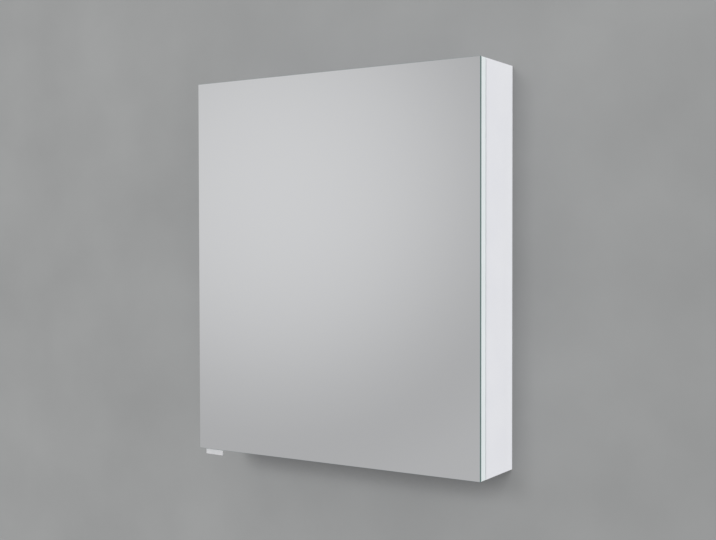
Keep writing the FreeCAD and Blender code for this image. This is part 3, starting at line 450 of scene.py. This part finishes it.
# Half the distance between the two screws of a pair, and the fine thread of the arm screws
PLATE_SCREW_STEP, ARM_SCREW_STEP, CUP_SCREW_STEP, GRIP_SCREW_STEP = 16.0, 7.0, 24.0, 12.0
FINE_PITCH = 1.0

fixings = [
    cross_screw(turned_to("X", side, (side * HANGER_FIXING_FACE, HANGER_FIXING_ROW, z)), *FIXING)
    for side in SIDES for z in HANGER_FIXING_HEIGHTS
]
piece("hanger_panel_screws", fixings, "cabinet", zinc, "zinc_steel", "hanger_fixing_screws")
adjusters = [
    cross_screw(turned_to("Y", 1, (side * HANGER_ADJUSTER_COLUMN, HANGER_ADJUSTER_FACE, z)), *ADJUSTER)
    for side in SIDES for z in HANGER_ADJUSTER_HEIGHTS
]
piece("hanger_setting_screws", adjusters, "cabinet", zinc, "zinc_steel", "hanger_adjusting_screws")
plate_screws = [
    cross_screw(
        turned_to("X", 1, (HINGE_PLATE_FACE, HINGE_PLATE_MIDDLE, z + side * PLATE_SCREW_STEP)), *PLATE_SCREW
    )
    for z in HINGE_HEIGHTS.values() for side in SIDES
]
piece("hinge_base_screws", plate_screws, "cabinet", nickel, "nickel_steel", "hinge_plate_screws")
arm_screws = [
    cross_screw(
        turned_to("X", 1, (HINGE_ARM_FACE, HINGE_PLATE_MIDDLE + side * ARM_SCREW_STEP, z)), *ARM_SCREW,
        pitch=FINE_PITCH,
    )
    for z in HINGE_HEIGHTS.values() for side in SIDES
]
piece("hinge_clamp_screws", arm_screws, "cabinet", nickel, "nickel_steel", "hinge_arm_screws")
cup_screws = [
    cross_screw(
        turned_to("Y", -1, (CUP_CENTRE[0], DOOR_BACK + CUP_FLANGE, z + side * CUP_SCREW_STEP)), *CUP_SCREW
    )
    for z in HINGE_HEIGHTS.values() for side in SIDES
]
piece("hinge_wing_screws", cup_screws, "door", nickel, "nickel_steel", "hinge_cup_screws")
grip_middle = (GRIP_LOW[0] + GRIP_HIGH[0]) / 2
board_middle = (BOARD_FRONT + DOOR_BACK) / 2
leg_under = GRIP_HIGH[2] - GRIP_SHEET
grip_screws = [
    cross_screw(turned_to("Z", 1, (grip_middle + side * GRIP_SCREW_STEP, board_middle, leg_under)), *GRIP_SCREW)
    for side in SIDES
]
piece("grip_pan_screws", grip_screws, "door", zinc, "zinc_steel", "grip_screws")

for level, height in HINGE_HEIGHTS.items():
    piece(f"hinge_cup_pressed_{level}", [pressed_cup(height)], "door", nickel, "nickel_steel",
          f"hinge_cup_{level}", crease=50)

# Riveted link pins of the arms, flush with the cheeks, with chamfered ends
PIN_RADIUS, PIN_CHAMFER, ARM_HALF = 1.25, 0.3, 7.6
arm_pin_line = profile([
    (0.2, -ARM_HALF), (PIN_RADIUS - PIN_CHAMFER, -ARM_HALF), (PIN_RADIUS, -ARM_HALF + PIN_CHAMFER),
    (PIN_RADIUS, ARM_HALF - PIN_CHAMFER), (PIN_RADIUS - PIN_CHAMFER, ARM_HALF), (0.2, ARM_HALF),
])
arm_pins = [
    lathe(arm_pin_line, turned_to("Z", 1, (x, y, z)), 24)
    for z in HINGE_HEIGHTS.values() for x, y in LINK_PINS_ON_ARM
]
piece("link_pins_on_arms", arm_pins, "cabinet", nickel, "nickel_steel", "hinge_arm_pins")

# Shelf pins: a plug in the panel with a lead-in, a collar with a rounded rim, and a peg for the glass
peg_line = profile(
    [(0.3, -9.0), (2.3, -9.0)],
    arc((1.9, -8.4), 0.6, -90, 0, 5),
    [(2.5, -1.2)],
    arc((3.6, -0.8), 0.4, -90, 0, 4),
    [(4.0, 0.0), (2.45, 0.0), (2.45, 8.0), (1.7, 9.0), (0.3, 9.0)],
)
for level, underside in SHELF_UNDERSIDES.items():
    pegs = [
        lathe(peg_line, turned_to("X", side, (side * SIDE_INNER, y, underside - PEG_DROP)))
        for side in SIDES for y in PEG_ROWS
    ]
    piece(f"shelf_pegs_{level}", pegs, "cabinet", nickel, "nickel_steel", f"{level}_shelf_pins")

# Soft discs with a domed top on the free side's front edge
disc_line = profile(
    [(0.2, 0.0), (4.0, 0.0), (4.0, 0.5)],
    arc((2.6, 0.5), 1.4, 0, 80, 7),
    [(1.2, 1.89), (0.2, 1.9)],
)
discs = [
    lathe(disc_line, turned_to("Y", -1, (STOP_DISC_MIDDLE, CARCASS_FRONT, z))) for z in STOP_DISC_HEIGHTS
]
piece("door_stop_discs", discs, "cabinet", bumper_gel, "soft_bumper", "door_bumpers")

# Fluted dowels with chamfered ends
dowel_line = profile([
    (0.4, 0.0), (3.0, 0.0), (4.0, 1.5), (4.0, 10.0), (4.0, 20.0), (4.0, 28.5), (3.0, 30.0), (0.4, 30.0),
])
dowels = [
    lathe(dowel_line, turned_to("X", side, (side * DOWEL_START, y, z)), 96, flutes=24, flute_depth=0.08)
    for side in SIDES for y in DOWEL_ROWS for z in DOWEL_HEIGHTS
]
piece("fluted_dowels", dowels, "cabinet", beech, "beech", "carcass_dowels")

# Finger grip: one bent strip carried along X, a leg under the door and a lip that hangs at its front
_, lip_front, lip_foot = GRIP_LOW
_, leg_rear, leg_top = GRIP_HIGH
lip_rear = lip_front + GRIP_SHEET
strip_line = eased(
    [
        (lip_front, lip_foot), (lip_rear, lip_foot), (lip_rear, leg_under), (leg_rear, leg_under),
        (leg_rear, leg_top), (lip_front, leg_top),
    ],
    (0.8, 0.8, 0.6, 0.5, 0.5, 0.7),
)
strip = np.empty((2, len(strip_line), 3))
strip[:, :, 0] = np.array((GRIP_LOW[0], GRIP_HIGH[0]))[:, None]
strip[:, :, 1:] = strip_line
grip = piece("finger_grip_strip", [skin(strip * MM)], "door", satin_aluminium, "anodised_aluminium",
             "finger_grip")
break_edges(grip, "filed_ends", 0.3, 50)


# Stage

def stage_sheet(name, corners, faces, coat, mirrored):
    """A flat stage sheet of faces over corners, which mirrors and bright metal show or leave out."""
    mesh = bpy.data.meshes.new(name)
    mesh.from_pydata(corners, [], faces)
    mesh.materials.append(coat)
    made = bpy.data.objects.new(name, mesh)
    bpy.context.scene.collection.objects.link(made)
    made.visible_diffuse = False
    made.visible_glossy = mirrored
    made.visible_transmission = False
    made.visible_shadow = False


# The wall stands just behind the cabinet's rear edges, and its lower edge meets the floor
WALL_Y, WALL_REACH, WALL_TOP = 0.0006, 4, 2.6
FLOOR_LEVEL, FLOOR_REACH = -1.65, 40

# Plain grey plaster behind the cabinet, seen from the room only, with a painted shade close under the cabinet
wall_coat, wall_tree, wall_shader, wall_place = finish("grey_plaster_wall_painted_shade", Roughness=0.9)
cloud = add(wall_tree, "TexNoise", {"Vector": wall_place, "Scale": per(260), "Detail": 6.0})
cloud_tone = shaded(wall_tree, cloud.outputs["Fac"], "#8B8C8C", "#939494")
# Painted shade: close under the cabinet, within a few centimetres, the wall's colour is darkened where the
# cabinet keeps off light from above, a shadow painted into the plaster's colour
overhead = add(wall_tree, "CombineXYZ", {"X": 0.0, "Y": -0.5, "Z": 0.87}).outputs[0]
open_share = add(wall_tree, "AmbientOcclusion", {"Distance": 0.12, "Normal": overhead}, samples=16)
painted_shade_factor = add(wall_tree, "MapRange", {"Value": open_share.outputs["AO"], "From Min": 0.3, "From Max": 0.62,
                                    "To Min": 0.5}).outputs[0]
# The plaster's tone times the painted shade
painted_shade_tone = add(wall_tree, "VectorMath", {0: cloud_tone, "Scale": painted_shade_factor}, operation="SCALE").outputs[0]
wall_tree.links.new(painted_shade_tone, wall_shader.inputs["Base Color"])
behind = add(wall_tree, "NewGeometry").outputs["Backfacing"]
clear = add(wall_tree, "BsdfTransparent").outputs[0]
one_sided = add(wall_tree, "MixShader", {0: behind, 1: wall_shader.outputs[0], 2: clear}).outputs[0]
wall_out = next(item for item in wall_tree.nodes if item.type == "OUTPUT_MATERIAL")
wall_tree.links.new(one_sided, wall_out.inputs["Surface"])
# The wall is open behind the cabinet, where the bright rail would show its unlit face from close by
OPENING_INSET = 0.5 * MM
carcass_low, carcass_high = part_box("left_side_panel")[0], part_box("right_side_panel")[1]
opening_left, opening_right = carcass_low[0] + OPENING_INSET, carcass_high[0] - OPENING_INSET
opening_foot, opening_top = carcass_low[2] + OPENING_INSET, carcass_high[2] - OPENING_INSET
wall_corners = [
    (-WALL_REACH, WALL_Y, FLOOR_LEVEL), (WALL_REACH, WALL_Y, FLOOR_LEVEL),
    (WALL_REACH, WALL_Y, WALL_TOP), (-WALL_REACH, WALL_Y, WALL_TOP),
    (opening_left, WALL_Y, opening_foot), (opening_right, WALL_Y, opening_foot),
    (opening_right, WALL_Y, opening_top), (opening_left, WALL_Y, opening_top),
]
wall_faces = [(0, 1, 5, 4), (1, 2, 6, 5), (2, 3, 7, 6), (3, 0, 4, 7)]
stage_sheet("wall", wall_corners, wall_faces, wall_coat, True)

# Pale floor with a faint drift of tone
floor_coat, floor_tree, floor_shader, floor_place = finish("pale_floor", Roughness=0.8)
drift = add(floor_tree, "TexNoise", {"Vector": floor_place, "Scale": per(400), "Detail": 4.0})
floor_tone = shaded(floor_tree, drift.outputs["Fac"], "#DCDCDA", "#E0E0DE")
floor_tree.links.new(floor_tone, floor_shader.inputs["Base Color"])
floor_corners = [
    (-FLOOR_REACH, -FLOOR_REACH, FLOOR_LEVEL), (FLOOR_REACH, -FLOOR_REACH, FLOOR_LEVEL),
    (FLOOR_REACH, FLOOR_REACH, FLOOR_LEVEL), (-FLOOR_REACH, FLOOR_REACH, FLOOR_LEVEL),
]
stage_sheet("floor", floor_corners, [(0, 1, 2, 3)], floor_coat, False)

# Light: an even pale room, and one large soft lamp to the left in front
world = bpy.data.worlds.new("pale_room")
bpy.context.scene.world = world
world.use_nodes = True
room = world.node_tree
room.nodes.clear()
sight = add(room, "LightPath")
shown = add(room, "Math", {0: sight.outputs["Is Glossy Ray"], 1: sight.outputs["Is Transmission Ray"]},
            operation="MAXIMUM").outputs[0]
# The soft patch of light across the room that the mirror shows: its level by the degrees from its middle,
# and the slight blue in it
GLOW_AZIMUTH, GLOW_RISE = math.radians(36.6), math.radians(3.0)
GLOW_STOPS = (
    (0, 0.652), (3, 0.642), (6, 0.603), (9, 0.535), (12, 0.447), (14, 0.432), (16, 0.46), (20, 0.47), (30, 0.6),
    (45, 0.85),
)
GLOW_BLUE = 1.01
glow_middle = (
    -math.sin(GLOW_AZIMUTH) * math.cos(GLOW_RISE),
    -math.cos(GLOW_AZIMUTH) * math.cos(GLOW_RISE),
    math.sin(GLOW_RISE),
)
outward = add(room, "TexCoord").outputs["Generated"]
facing = add(room, "VectorMath", {0: outward, 1: glow_middle}, operation="DOT_PRODUCT").outputs["Value"]
turned = add(room, "Math", {0: facing}, operation="ARCCOSINE").outputs[0]
share = add(room, "Math", {0: turned, 1: math.pi}, operation="DIVIDE").outputs[0]
glow = add(room, "ValToRGB", {"Fac": share})
glow.color_ramp.interpolation = "B_SPLINE"
while len(glow.color_ramp.elements) < len(GLOW_STOPS):
    glow.color_ramp.elements.new(1.0)
for element, (degrees, level) in zip(glow.color_ramp.elements, GLOW_STOPS):
    element.position = degrees / 180
    element.color = (level, level, level * GLOW_BLUE, 1)
# The room's own light is stronger from above than from below, and a little stronger from the right
ROOM_LEAN, ROOM_LOW, ROOM_HIGH = (0.5, 0, 1), 0.72, 1.18
BACKDROP = (0.9, 0.9, 0.9, 1)
lean = add(room, "VectorMath", {0: outward, 1: ROOM_LEAN}, operation="DOT_PRODUCT").outputs["Value"]
even = add(room, "MapRange", {"Value": lean, "From Min": -1.0, "To Min": ROOM_LOW, "To Max": ROOM_HIGH},
           clamp=False).outputs[0]
lit = add(room, "Mix", {"Factor": shown, 6: even, 7: glow.outputs["Color"]}, data_type="RGBA")
seen = add(room, "Mix", {"Factor": sight.outputs["Is Camera Ray"], 6: lit.outputs[2], 7: BACKDROP},
           data_type="RGBA")
sky = add(room, "Background", {"Color": seen.outputs[2]})
add(room, "OutputWorld", {"Surface": sky.outputs[0]})

LAMP_PLACE, LAMP_AIM = (-0.9, -6.8, 1.8), Vector((0, 0, -0.3))
lamp = bpy.data.lights.new("soft_key", "AREA")
lamp.size = 2.0
lamp.energy = 108
key = bpy.data.objects.new("soft_key", lamp)
key.location = LAMP_PLACE
key.rotation_mode = "QUATERNION"
key.rotation_quaternion = (LAMP_AIM - key.location).to_track_quat("-Z", "Y")
key.visible_glossy = False
key.visible_camera = False
bpy.context.scene.collection.objects.link(key)
bpy.context.scene.view_settings.view_transform = "Standard"

# Camera, fitted to the cabinet's corners in a frame of 716 by 540
FRAME_WIDTH, FOCAL_PIXELS, SENSOR = 716, 1115.07, 36.0
CAMERA_PLACE = (1.11127, -1.77650, -0.26469)
YAW, PITCH, ROLL = (math.radians(angle) for angle in (32.4248, -1.2589, -0.1051))
forward = Vector((-math.sin(YAW) * math.cos(PITCH), math.cos(YAW) * math.cos(PITCH), math.sin(PITCH)))
right = Vector((math.cos(YAW), math.sin(YAW), 0))
up = right.cross(forward)
rolled_right = right * math.cos(ROLL) + up * math.sin(ROLL)
rolled_up = up * math.cos(ROLL) - right * math.sin(ROLL)
lens = bpy.data.cameras.new("photo_camera")
lens.sensor_width = SENSOR
lens.lens = FOCAL_PIXELS / FRAME_WIDTH * SENSOR
camera = bpy.data.objects.new("photo_camera", lens)
turn = Matrix((rolled_right, rolled_up, -forward)).transposed()
camera.matrix_world = Matrix.Translation(CAMERA_PLACE) @ turn.to_4x4()
bpy.context.scene.collection.objects.link(camera)
bpy.context.scene.camera = camera
